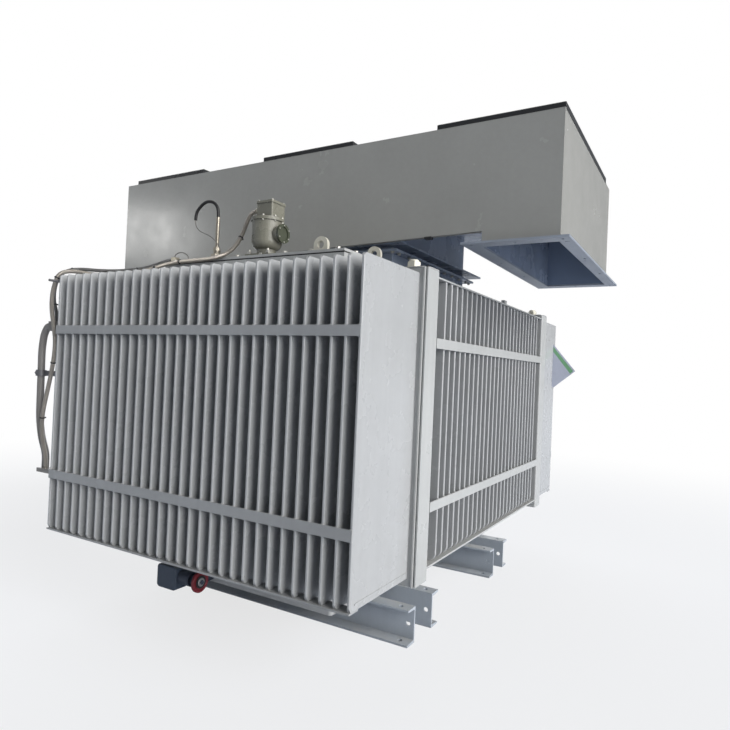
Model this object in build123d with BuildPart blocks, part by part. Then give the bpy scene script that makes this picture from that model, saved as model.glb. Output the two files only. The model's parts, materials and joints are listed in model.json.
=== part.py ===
from build123d import *
import math
import os

os.makedirs("parts", exist_ok=True)

# Oil-filled power transformer with corrugated cooling walls and a cable duct
# on its cover. Millimetres. X runs along the front, Y to the back, Z up.
# The origin is on the floor, midway between the skids.

# ---------------------------------------------------------------- driving sizes
skid_h = 140.0          # channel skids: height, flange width, web, flange
skid_w = 62.0
skid_web = 7.0
skid_fl = 10.0
skid_half = 640.0       # half length along X
skid_out = 555.0        # back of the web, outer channels
skid_in = 398.0         # back of the web, inner channels
skid_hole_x = 595.0
skid_hole_r = 9.0

tank_x = 430.0          # half size of the tank
tank_y = 832.0
tank_top = 1438.0

head_x = 760.0          # outer face of the corner headers
head_y0 = 732.0
head_z0 = 314.0
head_z1 = 1401.0

fin_t = 10.0            # cooling fins
fin_z0 = 342.0
fin_z1 = 1381.0
front_pitch = 50.0
front_n = 30
front_tip = 1203.0
side_pitch = 54.0
side_n = 25
side_tip = 754.0

cover_x = 460.0
cover_y = 895.0
flange_t = 20.0
gasket_t = 5.0
cover_t = 10.0
cover_top = tank_top + flange_t + gasket_t + cover_t

throat_x = 395.0
throat_y = 415.0
lower_fl_z = 1551.0
upper_fl_z = 1579.0

duct_x0 = -1230.0
duct_x1 = 1121.0
duct_y = 515.0
duct_floor = 1781.0
duct_top = 2004.0
sheet = 4.0
skirt_z = 1588.0
skirt_left_z = 1540.0
outlet_x0 = 830.0
outlet_z = 1536.0       # top face of the outlet flange
outlet_fl_t = 8.0
lid_h = 28.0

wheel_y = -950.0        # drain valve
wheel_z = 182.0
wheel_r = 42.0

relay_x = 40.0
relay_y = -822.0
gland_z = 1668.0

C = Align.CENTER
LO = Align.MIN
HI = Align.MAX


# ------------------------------------------------------------------------ skids
def channel(web_y, side):
    # a channel along X; side is the way its flanges point
    with BuildPart() as bar:
        with BuildSketch(Plane.YZ.offset(-skid_half)):
            with BuildLine():
                s = side
                Polyline(
                    (web_y, 0),
                    (web_y + s * skid_w, 0),
                    (web_y + s * skid_w, skid_fl * 0.8),
                    (web_y + s * skid_web, skid_fl * 1.15),
                    (web_y + s * skid_web, skid_h - skid_fl * 1.15),
                    (web_y + s * skid_w, skid_h - skid_fl * 0.8),
                    (web_y + s * skid_w, skid_h),
                    (web_y, skid_h),
                    close=True,
                )
            make_face()
        extrude(amount=2 * skid_half)
        # bolt holes through both flanges near each end
        hy = web_y + side * 34.0
        with Locations(*[(x, hy, skid_h) for x in (-skid_hole_x, skid_hole_x)]):
            Hole(radius=skid_hole_r, depth=skid_h)
        # towing hole in the web near each end
        with Locations(
            *[
                Location((x, web_y + side * skid_web, 69), (-90 * side, 0, 0))
                for x in (-614, 614)
            ]
        ):
            Hole(radius=10, depth=skid_web * 1.5)
    return bar.part


with BuildPart() as skid_front_outer:
    add(channel(-skid_out, -1))
with BuildPart() as skid_front_inner:
    add(channel(-skid_in, 1))
with BuildPart() as skid_back_inner:
    add(channel(skid_in, -1))
with BuildPart() as skid_back_outer:
    add(channel(skid_out, 1))

# ------------------------------------------------------------------ tank housing
with BuildPart() as tank_body:
    with Locations((0, 0, skid_h)):
        Box(2 * tank_x, 2 * tank_y, tank_top - skid_h, align=(C, C, LO))
    fillet(tank_body.edges().filter_by(Axis.Z), radius=12)


def header(sx, sy):
    # closed oil header at a tank corner, with a lipped seam down its outer face
    with BuildPart() as box:
        with BuildSketch(Plane.XY.offset(head_z0)):
            with BuildLine():
                Polyline(
                    (sx * tank_x, sy * head_y0),
                    (sx * head_x, sy * head_y0),
                    (sx * head_x, sy * (tank_y - 3)),
                    (sx * (head_x - 5), sy * (tank_y - 3)),
                    (sx * (head_x - 5), sy * (tank_y - 8)),
                    (sx * (head_x - 9), sy * (tank_y - 8)),
                    (sx * (head_x - 9), sy * (tank_y + 5)),
                    (sx * (head_x - 15), sy * (tank_y + 5)),
                    (sx * (head_x - 15), sy * tank_y),
                    (sx * tank_x, sy * tank_y),
                    close=True,
                )
            make_face()
        extrude(amount=head_z1 - head_z0)
        corner = box.edges().filter_by(Axis.Z).sort_by(
            lambda e: -abs(e.center().X) + abs(e.center().Y)
        )
        fillet(corner[:1], radius=8)
    return box.part


with BuildPart() as header_front_right:
    add(header(1, -1))
with BuildPart() as header_front_left:
    add(header(-1, -1))
with BuildPart() as header_back_right:
    add(header(1, 1))
with BuildPart() as header_back_left:
    add(header(-1, 1))

# ------------------------------------------------------------------ cooling fins
front_xs = [
    (i - (front_n - 1) / 2) * front_pitch for i in range(front_n)
]
side_ys = [(i - (side_n - 1) / 2) * side_pitch for i in range(side_n)]

with BuildPart() as end_fin:
    # one deep fin of the front wall, centred on X = 0
    with BuildSketch(Plane.YZ.offset(-fin_t / 2)) as end_fin_sk:
        with BuildLine():
            Polyline(
                (-tank_y, fin_z0),
                (-front_tip + 8, fin_z0),
                (-front_tip, fin_z0 + 14),
                (-front_tip, fin_z1 - 9),
                (-front_tip + 7, fin_z1 - 1),
                (-front_tip + 26, fin_z1),
                (-tank_y, fin_z1),
                close=True,
            )
        make_face()
    extrude(amount=fin_t)
    tip = end_fin.edges().filter_by(Axis.Z).sort_by(Axis.Y)[0:2]
    fillet(tip, radius=3.6)

with BuildPart() as side_fin:
    # one fin of the side wall, centred on Y = 0, with rounded lower corner
    with BuildSketch(Plane.XZ.offset(-fin_t / 2)):
        with BuildLine():
            l1 = Line((tank_x, 357), (side_tip - 30, 357))
            l2 = ThreePointArc(l1 @ 1, (side_tip - 8.8, 365.8), (side_tip, 387))
            l3 = Line(l2 @ 1, (side_tip, 1370))
            l4 = ThreePointArc(l3 @ 1, (side_tip - 2, 1375), (side_tip - 7, 1377))
            l5 = Line(l4 @ 1, (tank_x, 1377))
            Line(l5 @ 1, l1 @ 0)
        make_face()
    extrude(amount=fin_t)
    tip = side_fin.edges().filter_by(Axis.Z).sort_by(Axis.X)[-2:]
    fillet(tip, radius=3.6)

with BuildPart() as front_fins:
    with Locations(*[(x, 0, 0) for x in front_xs]):
        add(end_fin.part)

with BuildPart() as back_fins:
    with Locations(*[Location((x, 0, 0), (0, 0, 180)) for x in front_xs]):
        add(end_fin.part)

with BuildPart() as right_fins:
    with Locations(*[(0, y, 0) for y in side_ys]):
        add(side_fin.part)

with BuildPart() as left_fins:
    with Locations(*[Location((0, y, 0), (0, 0, 180)) for y in side_ys]):
        add(side_fin.part)

# ---------------------------------------------- flat bars across the fin tips
bar_hx = front_pitch * (front_n - 1) / 2 + fin_t / 2
bar_t = 5.0

with BuildPart() as front_bars:
    with Locations((0, -front_tip, 1137)):
        Box(2 * bar_hx, bar_t, 33, align=(C, HI, LO))
    with Locations((0, -front_tip, 546)):
        Box(2 * bar_hx, bar_t, 35, align=(C, HI, LO))
    with Locations((0, -front_tip - 2, fin_z0 - 6)):
        Box(2 * bar_hx, 52, 6, align=(C, LO, LO))

with BuildPart() as back_bars:
    with Locations((0, front_tip, 1137)):
        Box(2 * bar_hx, bar_t, 33, align=(C, LO, LO))
    with Locations((0, front_tip, 546)):
        Box(2 * bar_hx, bar_t, 35, align=(C, LO, LO))
    with Locations((0, front_tip + 2, fin_z0 - 6)):
        Box(2 * bar_hx, 52, 6, align=(C, HI, LO))

with BuildPart() as right_bars:
    with Locations((side_tip, 0, 1129)):
        Box(6, 2 * head_y0, 36, align=(LO, C, LO))
    with Locations((side_tip, 0, 551)):
        Box(6, 2 * head_y0, 35, align=(LO, C, LO))
    with Locations((side_tip, 0, 1377)):
        Box(45, 2 * head_y0, 6, align=(HI, C, LO))
    with Locations((side_tip, 0, 350)):
        Box(70, 2 * head_y0, 7, align=(HI, C, LO))

with BuildPart() as left_bars:
    with Locations((-side_tip, 0, 1129)):
        Box(6, 2 * head_y0, 36, align=(HI, C, LO))
    with Locations((-side_tip, 0, 551)):
        Box(6, 2 * head_y0, 35, align=(HI, C, LO))
    with Locations((-side_tip, 0, 1377)):
        Box(45, 2 * head_y0, 6, align=(LO, C, LO))
    with Locations((-side_tip, 0, 350)):
        Box(70, 2 * head_y0, 7, align=(LO, C, LO))

# --------------------------------------------------------------- cover assembly
with BuildPart() as tank_flange:
    with Locations((0, 0, tank_top)):
        Box(2 * cover_x, 2 * cover_y, flange_t, align=(C, C, LO))

with BuildPart() as cover_gasket:
    with Locations((0, 0, tank_top + flange_t)):
        Box(2 * cover_x - 4, 2 * cover_y - 4, gasket_t, align=(C, C, LO))

with BuildPart() as cover_plate:
    with Locations((0, 0, tank_top + flange_t + gasket_t)):
        Box(2 * cover_x, 2 * cover_y, cover_t, align=(C, C, LO))

# lifting eyes: round-topped plates with one hole, standing on the cover
eye_t = 14.0
eye_hole_r = 15.0
eye_spots = [(297, -805), (402, -580), (-297, 805), (-402, 580)]


def eye(x, y):
    with BuildPart() as ring:
        with BuildSketch(Plane.XZ.offset(-(y + eye_t / 2))):
            with Locations((x, cover_top + 40)):
                Circle(32)
            with Locations((x, cover_top)):
                Rectangle(64, 40, align=(C, LO))
            with Locations((x, cover_top + 40)):
                Circle(eye_hole_r, mode=Mode.SUBTRACT)
        extrude(amount=eye_t)
    return ring.part


with BuildPart() as lifting_eyes:
    for ex, ey in eye_spots:
        add(eye(ex, ey))

# caps on the corner headers
with BuildPart() as header_caps:
    with Locations(
        *[
            (sx * 685, sy * 790, head_z1)
            for sx in (-1, 1)
            for sy in (-1, 1)
        ]
    ):
        Cylinder(radius=17, height=8, align=(C, C, LO))
    with BuildSketch(Plane.XY.offset(head_z1 + 8)):
        with Locations(
            *[(sx * 685, sy * 790) for sx in (-1, 1) for sy in (-1, 1)]
        ):
            RegularPolygon(radius=25, side_count=6)
    extrude(amount=18)
    with BuildSketch(Plane.XY.offset(head_z1 + 26)):
        with Locations(
            *[(sx * 685, sy * 790) for sx in (-1, 1) for sy in (-1, 1)]
        ):
            Circle(18)
    extrude(amount=9)
    caps_top = header_caps.edges().filter_by(
        lambda e: abs(e.center().Z - head_z1 - 35) < 0.1
    )
    fillet(caps_top, radius=5)

# small lug on each side strip
with BuildPart() as side_lugs:
    with Locations((735, 94, 1383), (-735, -94, 1383)):
        Box(16, 34, 20, align=(C, C, LO))

# ------------------------------------------------------ throat under the duct
with BuildPart() as throat_lower:
    with Locations((0, 0, cover_top)):
        Box(2 * throat_x, 2 * throat_y, lower_fl_z - cover_top, align=(C, C, LO))
    with Locations((0, 0, lower_fl_z)):
        Box(880, 926, 9, align=(C, C, LO))

with BuildPart() as throat_spacer:
    with Locations((0, 0, lower_fl_z + 9)):
        Box(
            2 * throat_x, 2 * throat_y, upper_fl_z - lower_fl_z - 9, align=(C, C, LO)
        )

with BuildPart() as throat_upper:
    with Locations((0, 0, upper_fl_z)):
        Box(944, 974, 8, align=(C, C, LO))
    with Locations((0, 0, upper_fl_z + 8)):
        Box(
            2 * throat_x,
            2 * throat_y,
            duct_floor - upper_fl_z - 8,
            align=(C, C, LO),
        )

# ------------------------------------------------------------------- cable duct
duct_cx = (duct_x0 + duct_x1) / 2
duct_lx = duct_x1 - duct_x0

with BuildPart() as duct_front:
    # front sheet with a skirt below the floor, deeper at the outlet
    with BuildSketch(Plane.XZ.offset(duct_y - sheet)):
        with BuildLine():
            Polyline(
                (duct_x0, skirt_left_z),
                (outlet_x0, skirt_z),
                (outlet_x0, outlet_z),
                (duct_x1, outlet_z),
                (duct_x1, duct_top),
                (duct_x0, duct_top),
                close=True,
            )
        make_face()
    extrude(amount=sheet)
    # turned-in lower edge of the skirt
    with BuildSketch(Plane.XZ.offset(duct_y - sheet - 18)):
        with BuildLine():
            Polyline(
                (duct_x0, skirt_left_z),
                (outlet_x0, skirt_z),
                (outlet_x0, skirt_z + 3),
                (duct_x0, skirt_left_z + 3),
                close=True,
            )
        make_face()
    extrude(amount=18)

with BuildPart() as duct_back:
    with BuildSketch(Plane.XZ.offset(-duct_y)):
        with BuildLine():
            Polyline(
                (duct_x0, duct_floor),
                (outlet_x0, duct_floor),
                (outlet_x0, outlet_z),
                (duct_x1, outlet_z),
                (duct_x1, duct_top),
                (duct_x0, duct_top),
                close=True,
            )
        make_face()
    extrude(amount=sheet)

with BuildPart() as duct_right_end:
    with Locations((duct_x1, 0, outlet_z)):
        Box(sheet, 2 * (duct_y - sheet), duct_top - outlet_z, align=(HI, C, LO))

with BuildPart() as duct_left_end:
    with Locations((duct_x0, 0, duct_floor)):
        Box(sheet, 2 * (duct_y - sheet), duct_top - duct_floor, align=(LO, C, LO))

with BuildPart() as duct_floor_sheet:
    with Locations((duct_x0 + sheet, 0, duct_floor)):
        Box(
            outlet_x0 + sheet - duct_x0 - sheet,
            2 * (duct_y - sheet),
            sheet,
            align=(LO, C, LO),
        )

with BuildPart() as outlet_side_wall:
    with Locations((outlet_x0, 0, outlet_z)):
        Box(sheet, 2 * (duct_y - sheet), duct_floor - outlet_z, align=(LO, C, LO))

with BuildPart() as duct_roof:
    with Locations((duct_cx, 0, duct_top)):
        Box(duct_lx, 2 * duct_y, sheet, align=(C, C, LO))

with BuildPart() as outlet_flange:
    with Locations((770, 0, outlet_z)):
        Box(1165 - 770, 1156, outlet_fl_t, align=(LO, C, HI))
    with Locations(((outlet_x0 + sheet), 0, outlet_z)):
        Box(
            duct_x1 - outlet_x0 - 2 * sheet,
            2 * (duct_y - sheet),
            outlet_fl_t,
            align=(LO, C, HI),
            mode=Mode.SUBTRACT,
        )
    with Locations(
        *[
            (x, y, outlet_z)
            for x in (800, 967.5, 1135)
            for y in (-547, 547)
        ],
        *[(x, y, outlet_z) for x in (800, 1143) for y in (-180, 180)],
    ):
        Hole(radius=7, depth=outlet_fl_t)

lid_z = duct_top + sheet
lid_l = 500.0
lid_y0 = -500.0
lid_y1 = 410.0


def lid(x0):
    with BuildPart() as top:
        with Locations((x0, lid_y0, lid_z)):
            Box(lid_l, lid_y1 - lid_y0, lid_h, align=(LO, LO, LO))
        chamfer(top.faces().sort_by(Axis.Z)[-1].edges(), length=3)
    return top.part


with BuildPart() as duct_lid_left:
    add(lid(-1170))
with BuildPart() as duct_lid_middle:
    add(lid(-276))
with BuildPart() as duct_lid_right:
    add(lid(620))

# -------------------------------------------------------- protection relay
rz = cover_top
with BuildPart() as relay_body:
    with Locations((relay_x, relay_y, rz)):
        Box(118, 118, 10, align=(C, C, LO))
    with Locations((relay_x, relay_y, rz + 10)):
        Cylinder(radius=38, height=22, align=(C, C, LO))
    with BuildSketch(Plane.XZ.offset(-relay_y)):
        with BuildLine():
            b1 = Line((relay_x, rz + 32), (relay_x + 40, rz + 32))
            b2 = ThreePointArc(
                b1 @ 1, (relay_x + 55, rz + 44), (relay_x + 61, rz + 68)
            )
            b3 = Line(b2 @ 1, (relay_x + 61, rz + 145))
            b4 = Line(b3 @ 1, (relay_x, rz + 145))
            Line(b4 @ 1, b1 @ 0)
        make_face()
    revolve(axis=Axis((relay_x, relay_y, 0), (0, 0, 1)))
    with Locations((relay_x, relay_y, rz + 145)):
        Cylinder(radius=66, height=13, align=(C, C, LO))
    # boss of the sight window, facing +X
    with BuildSketch(Plane.YZ.offset(relay_x + 40)):
        with Locations((relay_y, rz + 92)):
            Circle(31)
    with BuildSketch(Plane.YZ.offset(relay_x + 77)):
        with Locations((relay_y, rz + 92)):
            Circle(37)
    loft()

with BuildPart() as sight_glass:
    with BuildSketch(Plane.YZ.offset(relay_x + 77)):
        with Locations((relay_y, rz + 92)):
            Circle(38)
    extrude(amount=9)
    with BuildSketch(Plane.YZ.offset(relay_x + 86)):
        with Locations((relay_y, rz + 92)):
            Circle(27)
    extrude(amount=-5, mode=Mode.SUBTRACT)

with BuildPart() as relay_box:
    with Locations((54, relay_y, rz + 158)):
        Box(80, 82, 54, align=(C, C, LO))
    fillet(relay_box.edges().filter_by(Axis.Z), radius=6)

with BuildPart() as relay_lid:
    with Locations((54, relay_y, rz + 212)):
        Box(86, 88, 10, align=(C, C, LO))
    fillet(relay_lid.edges().filter_by(Axis.Z), radius=8)

with BuildPart() as relay_gland:
    with BuildSketch(Plane.YZ.offset(14)):
        with Locations((relay_y, gland_z)):
            RegularPolygon(radius=15, side_count=6)
    extrude(amount=-14)
    with BuildSketch(Plane.YZ.offset(0)):
        with Locations((relay_y, gland_z)):
            Circle(12)
    extrude(amount=-16)

# ------------------------------------------------------ thermometer pocket
with BuildPart() as thermometer_pocket:
    with BuildSketch(Plane.XY.offset(rz)):
        with Locations((-205, -850)):
            RegularPolygon(radius=22, side_count=6)
    extrude(amount=26)
    with Locations((-205, -850, rz + 26)):
        Cylinder(radius=14, height=14, align=(C, C, LO))
    with BuildSketch(Plane.XY.offset(rz + 40)):
        with Locations((-205, -850)):
            RegularPolygon(radius=15, side_count=6)
    extrude(amount=14)
    with Locations((-205, -850, rz + 54)):
        Cylinder(radius=8, height=128, align=(C, C, LO))

# ------------------------------------------------------------- drain valve
with BuildPart() as valve_body:
    # pipe from the tank wall, body across it, bonnet and stem
    with BuildSketch(Plane.XZ.offset(tank_y)):
        with Locations((-183, wheel_z)):
            Circle(42)
    extrude(amount=12)
    with BuildSketch(Plane.XZ.offset(tank_y + 12)):
        with Locations((-183, wheel_z)):
            Circle(19)
    extrude(amount=-wheel_y - tank_y - 12)
    with BuildSketch(Plane.YZ.offset(-209)):
        with Locations((wheel_y, wheel_z)):
            Circle(28)
    extrude(amount=59)
    with BuildSketch(Plane.YZ.offset(-150)):
        with Locations((wheel_y, wheel_z)):
            Circle(18)
    extrude(amount=20)
    with BuildSketch(Plane.YZ.offset(-130)):
        with Locations((wheel_y, wheel_z)):
            Circle(6)
    extrude(amount=30)
    with BuildSketch(Plane.YZ.offset(-103.5)):
        with Locations((wheel_y, wheel_z)):
            RegularPolygon(radius=9, side_count=6)
    extrude(amount=6)

with BuildPart() as valve_cap:
    with Locations((-209, wheel_y - 5, wheel_z - 4)):
        Box(108, 62, 94, align=(HI, C, C))
    fillet(valve_cap.edges().filter_by(Axis.Y), radius=16)
    fillet(
        valve_cap.faces().filter_by(Axis.Y).sort_by(Axis.Y)[0].edges(), radius=6
    )

with BuildPart() as handwheel:
    # dished cast wheel on the stem, turning about X
    with BuildSketch(Plane.XZ.offset(-wheel_y)) as wheel_sk:
        with BuildLine():
            Polyline(
                (-119, wheel_z + 6.05),
                (-119, wheel_z + 11),
                (-113, wheel_z + 15),
                (-113, wheel_z + 31),
                (-118, wheel_z + 34),
                (-118, wheel_z + 40),
                (-116, wheel_z + 42),
                (-108, wheel_z + 42),
                (-106, wheel_z + 40),
                (-106, wheel_z + 34),
                (-109, wheel_z + 31),
                (-109, wheel_z + 15),
                (-104, wheel_z + 11),
                (-104, wheel_z + 6.05),
                close=True,
            )
        make_face()
    revolve(axis=Axis((0, wheel_y, wheel_z), (1, 0, 0)), revolution_arc=360)

# ------------------------------------------------- conduits, pipe and card
def tube(points, r, tight=None):
    # straight runs joined by the largest arcs that the runs leave room for
    pts = [Vector(*p) for p in points]
    radii = []
    for i in range(1, len(pts) - 1):
        u = pts[i] - pts[i - 1]
        v = pts[i + 1] - pts[i]
        half = math.radians(u.get_angle(v)) / 2
        radii.append(0.45 * min(u.length, v.length) / math.tan(half))
    with BuildPart() as run:
        with BuildLine() as path:
            FilletPolyline(*points, radius=radii)
        with BuildSketch(Plane(origin=path.line @ 0, z_dir=path.line % 0)):
            Circle(r)
        sweep()
    length = sum(e.length for e in path.line.edges())
    print(
        "tube r",
        r,
        "length",
        round(length),
        "volume ratio",
        round(run.part.volume / (math.pi * r * r * length), 4),
        "radii",
        [round(q) for q in radii],
    )
    return run.part


# steel conduit from the relay, along the cover edge, over the fins and down
conduit_r = 8.5
with BuildPart() as relay_conduit:
    add(
        tube(
            [
                (-16, relay_y, gland_z),
                (-44, relay_y, gland_z),
                (-60, relay_y - 9, 1632),
                (-67, relay_y - 22, 1582),
                (-76, relay_y - 47, 1526),
                (-92, relay_y - 78, 1488),
                (-140, -909, 1472),
                (-208, -909, 1467),
                (-290, -908, 1467),
                (-365, -909, 1465),
                (-428, -911, 1461),
                (-476, -920, 1449),
                (-514, -948, 1430),
                (-544, -990, 1412),
                (-574, -1035, 1399),
                (-612, -1080, 1392),
                (-655, -1118, 1393),
                (-706, -1164, 1402),
                (-750, -1192, 1390),
                (-768, -1198, 1350),
                (-782, -1199, 1300),
                (-785, -1197, 1245),
                (-770, -1196, 1185),
                (-751, -1195, 1120),
                (-752, -1194, 1055),
                (-774, -1190, 975),
                (-803, -1186, 895),
                (-829, -1184, 815),
                (-837, -1183, 748),
                (-822, -1184, 680),
                (-788, -1186, 622),
                (-788, -1186, 574),
            ],
            conduit_r,
        )
    )

# second conduit, from a gland at the cover's corner to the upper bracket
with BuildPart() as second_conduit:
    add(
        tube(
            [
                (-446, -868, 1486),
                (-478, -868, 1486),
                (-508, -896, 1466),
                (-534, -944, 1440),
                (-562, -1000, 1424),
                (-598, -1052, 1414),
                (-642, -1096, 1411),
                (-694, -1130, 1414),
                (-748, -1158, 1408),
                (-786, -1172, 1380),
                (-804, -1176, 1330),
                (-806, -1175, 1275),
                (-790, -1169, 1228),
                (-790, -1169, 1190),
            ],
            7.0,
        )
    )
with BuildPart() as cover_gland:
    with Locations((-430, -868, cover_top)):
        Box(24, 26, 22, align=(C, C, LO))
    with BuildSketch(Plane.YZ.offset(-442)):
        with Locations((-868, 1486)):
            RegularPolygon(radius=11, side_count=6)
    extrude(amount=-4)

# pipe bowed out from the left end, held by three brackets
with BuildPart() as side_pipe:
    add(
        tube(
            [
                (-822, -1169, 1170),
                (-848, -1169, 1170),
                (-873, -1169, 1136),
                (-884, -1169, 1072),
                (-881, -1169, 970),
                (-879, -1169, 870),
                (-876, -1169, 780),
                (-856, -1169, 700),
                (-818, -1169, 632),
                (-818, -1169, 574),
            ],
            14.5,
        )
    )

with BuildPart() as pipe_brackets:
    with Locations((-730, -1169, 1170)):
        Box(92, 30, 40, align=(HI, C, C))
    with Locations((-730, -1177, 574)):
        Box(104, 40, 16, align=(HI, C, HI))
with BuildPart() as pipe_clamp:
    with BuildSketch(Plane.YZ.offset(-730)):
        with Locations((-1160, 970)):
            Rectangle(18, 22)
    extrude(amount=-132)
    with BuildSketch(Plane.XY.offset(957)):
        with Locations((-881, -1169)):
            Circle(21)
    extrude(amount=26)
    with BuildSketch(Plane.YZ.offset(-896)):
        with Locations((-1169, 970)):
            RegularPolygon(radius=11, side_count=6)
    extrude(amount=-16)
    with BuildSketch(Plane.XY.offset(950)):
        with Locations((-881, -1169)):
            Circle(15.2)
    extrude(amount=40, mode=Mode.SUBTRACT)

with BuildPart() as rod_stub:
    with BuildSketch(Plane.XZ.offset(1172)):
        with Locations((-741, 1353)):
            Circle(5)
    extrude(amount=68)
    with Locations((-730, -1164, 1353)):
        Box(22, 8, 22, align=(HI, HI, C))

# thermometer lead: a black sheath looping over, then a thin capillary
with BuildPart() as sensor_sheath:
    add(
        tube(
            [
                (-205, -850, 1655),
                (-205, -850, 1684),
                (-220, -850, 1711),
                (-248, -850, 1727),
                (-282, -850, 1728),
                (-313, -850, 1710),
                (-337, -850, 1684),
                (-337, -850, 1655),
            ],
            6.5,
        )
    )
with BuildPart() as sensor_capillary:
    add(
        tube(
            [
                (-337, -850, 1655),
                (-337, -850, 1635),
                (-316, -855, 1612),
                (-284, -861, 1595),
                (-246, -866, 1582),
                (-208, -869, 1562),
                (-178, -870, 1534),
                (-160, -869, 1502),
                (-160, -869, 1473),
            ],
            2.0,
        )
    )
with BuildPart() as bonding_wire:
    add(
        tube(
            [
                (-430, -872, 1495),
                (-430, -872, 1504),
                (-412, -873, 1513),
                (-388, -873, 1515),
                (-362, -872, 1508),
                (-346, -871, 1492),
                (-346, -871, 1473),
            ],
            2.0,
        )
    )

# card hung beside the last back fin
with BuildPart() as tag_card:
    with BuildSketch(Plane.XZ.offset(-1152)):
        with BuildLine():
            Polyline(
                (730, 1262), (868, 1097), (738, 988), (730, 1000), close=True
            )
        make_face()
    extrude(amount=2)

# ------------------------------------------------------------ labels and files
tank_body.part.label = "tank_body"
export_step(tank_body.part, "parts/tank_body.step")
header_front_right.part.label = "header_front_right"
export_step(header_front_right.part, "parts/header_front_right.step")
header_front_left.part.label = "header_front_left"
export_step(header_front_left.part, "parts/header_front_left.step")
header_back_right.part.label = "header_back_right"
export_step(header_back_right.part, "parts/header_back_right.step")
header_back_left.part.label = "header_back_left"
export_step(header_back_left.part, "parts/header_back_left.step")
front_fins.part.label = "front_fins"
export_step(front_fins.part, "parts/front_fins.step")
back_fins.part.label = "back_fins"
export_step(back_fins.part, "parts/back_fins.step")
right_fins.part.label = "right_fins"
export_step(right_fins.part, "parts/right_fins.step")
left_fins.part.label = "left_fins"
export_step(left_fins.part, "parts/left_fins.step")
front_bars.part.label = "front_bars"
export_step(front_bars.part, "parts/front_bars.step")
back_bars.part.label = "back_bars"
export_step(back_bars.part, "parts/back_bars.step")
right_bars.part.label = "right_bars"
export_step(right_bars.part, "parts/right_bars.step")
left_bars.part.label = "left_bars"
export_step(left_bars.part, "parts/left_bars.step")
tank_flange.part.label = "tank_flange"
export_step(tank_flange.part, "parts/tank_flange.step")
cover_gasket.part.label = "cover_gasket"
export_step(cover_gasket.part, "parts/cover_gasket.step")
cover_plate.part.label = "cover_plate"
export_step(cover_plate.part, "parts/cover_plate.step")
lifting_eyes.part.label = "lifting_eyes"
export_step(lifting_eyes.part, "parts/lifting_eyes.step")
header_caps.part.label = "header_caps"
export_step(header_caps.part, "parts/header_caps.step")
side_lugs.part.label = "side_lugs"
export_step(side_lugs.part, "parts/side_lugs.step")
skid_front_outer.part.label = "skid_front_outer"
export_step(skid_front_outer.part, "parts/skid_front_outer.step")
skid_front_inner.part.label = "skid_front_inner"
export_step(skid_front_inner.part, "parts/skid_front_inner.step")
skid_back_inner.part.label = "skid_back_inner"
export_step(skid_back_inner.part, "parts/skid_back_inner.step")
skid_back_outer.part.label = "skid_back_outer"
export_step(skid_back_outer.part, "parts/skid_back_outer.step")
throat_lower.part.label = "throat_lower"
export_step(throat_lower.part, "parts/throat_lower.step")
throat_spacer.part.label = "throat_spacer"
export_step(throat_spacer.part, "parts/throat_spacer.step")
throat_upper.part.label = "throat_upper"
export_step(throat_upper.part, "parts/throat_upper.step")
duct_front.part.label = "duct_front"
export_step(duct_front.part, "parts/duct_front.step")
duct_back.part.label = "duct_back"
export_step(duct_back.part, "parts/duct_back.step")
duct_right_end.part.label = "duct_right_end"
export_step(duct_right_end.part, "parts/duct_right_end.step")
duct_left_end.part.label = "duct_left_end"
export_step(duct_left_end.part, "parts/duct_left_end.step")
duct_floor_sheet.part.label = "duct_floor"
export_step(duct_floor_sheet.part, "parts/duct_floor.step")
duct_roof.part.label = "duct_roof"
export_step(duct_roof.part, "parts/duct_roof.step")
outlet_side_wall.part.label = "outlet_side_wall"
export_step(outlet_side_wall.part, "parts/outlet_side_wall.step")
outlet_flange.part.label = "outlet_flange"
export_step(outlet_flange.part, "parts/outlet_flange.step")
duct_lid_left.part.label = "duct_lid_left"
export_step(duct_lid_left.part, "parts/duct_lid_left.step")
duct_lid_middle.part.label = "duct_lid_middle"
export_step(duct_lid_middle.part, "parts/duct_lid_middle.step")
duct_lid_right.part.label = "duct_lid_right"
export_step(duct_lid_right.part, "parts/duct_lid_right.step")
relay_body.part.label = "relay_body"
export_step(relay_body.part, "parts/relay_body.step")
sight_glass.part.label = "sight_glass"
export_step(sight_glass.part, "parts/sight_glass.step")
relay_box.part.label = "relay_box"
export_step(relay_box.part, "parts/relay_box.step")
relay_lid.part.label = "relay_lid"
export_step(relay_lid.part, "parts/relay_lid.step")
relay_gland.part.label = "relay_gland"
export_step(relay_gland.part, "parts/relay_gland.step")
thermometer_pocket.part.label = "thermometer_pocket"
export_step(thermometer_pocket.part, "parts/thermometer_pocket.step")
valve_body.part.label = "valve_body"
export_step(valve_body.part, "parts/valve_body.step")
valve_cap.part.label = "valve_cap"
export_step(valve_cap.part, "parts/valve_cap.step")
handwheel.part.label = "handwheel"
export_step(handwheel.part, "parts/handwheel.step")
relay_conduit.part.label = "relay_conduit"
export_step(relay_conduit.part, "parts/relay_conduit.step")
second_conduit.part.label = "second_conduit"
export_step(second_conduit.part, "parts/second_conduit.step")
side_pipe.part.label = "side_pipe"
export_step(side_pipe.part, "parts/side_pipe.step")
pipe_brackets.part.label = "pipe_brackets"
export_step(pipe_brackets.part, "parts/pipe_brackets.step")
pipe_clamp.part.label = "pipe_clamp"
export_step(pipe_clamp.part, "parts/pipe_clamp.step")
rod_stub.part.label = "rod_stub"
export_step(rod_stub.part, "parts/rod_stub.step")
cover_gland.part.label = "cover_gland"
export_step(cover_gland.part, "parts/cover_gland.step")
sensor_sheath.part.label = "sensor_sheath"
export_step(sensor_sheath.part, "parts/sensor_sheath.step")
sensor_capillary.part.label = "sensor_capillary"
export_step(sensor_capillary.part, "parts/sensor_capillary.step")
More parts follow.
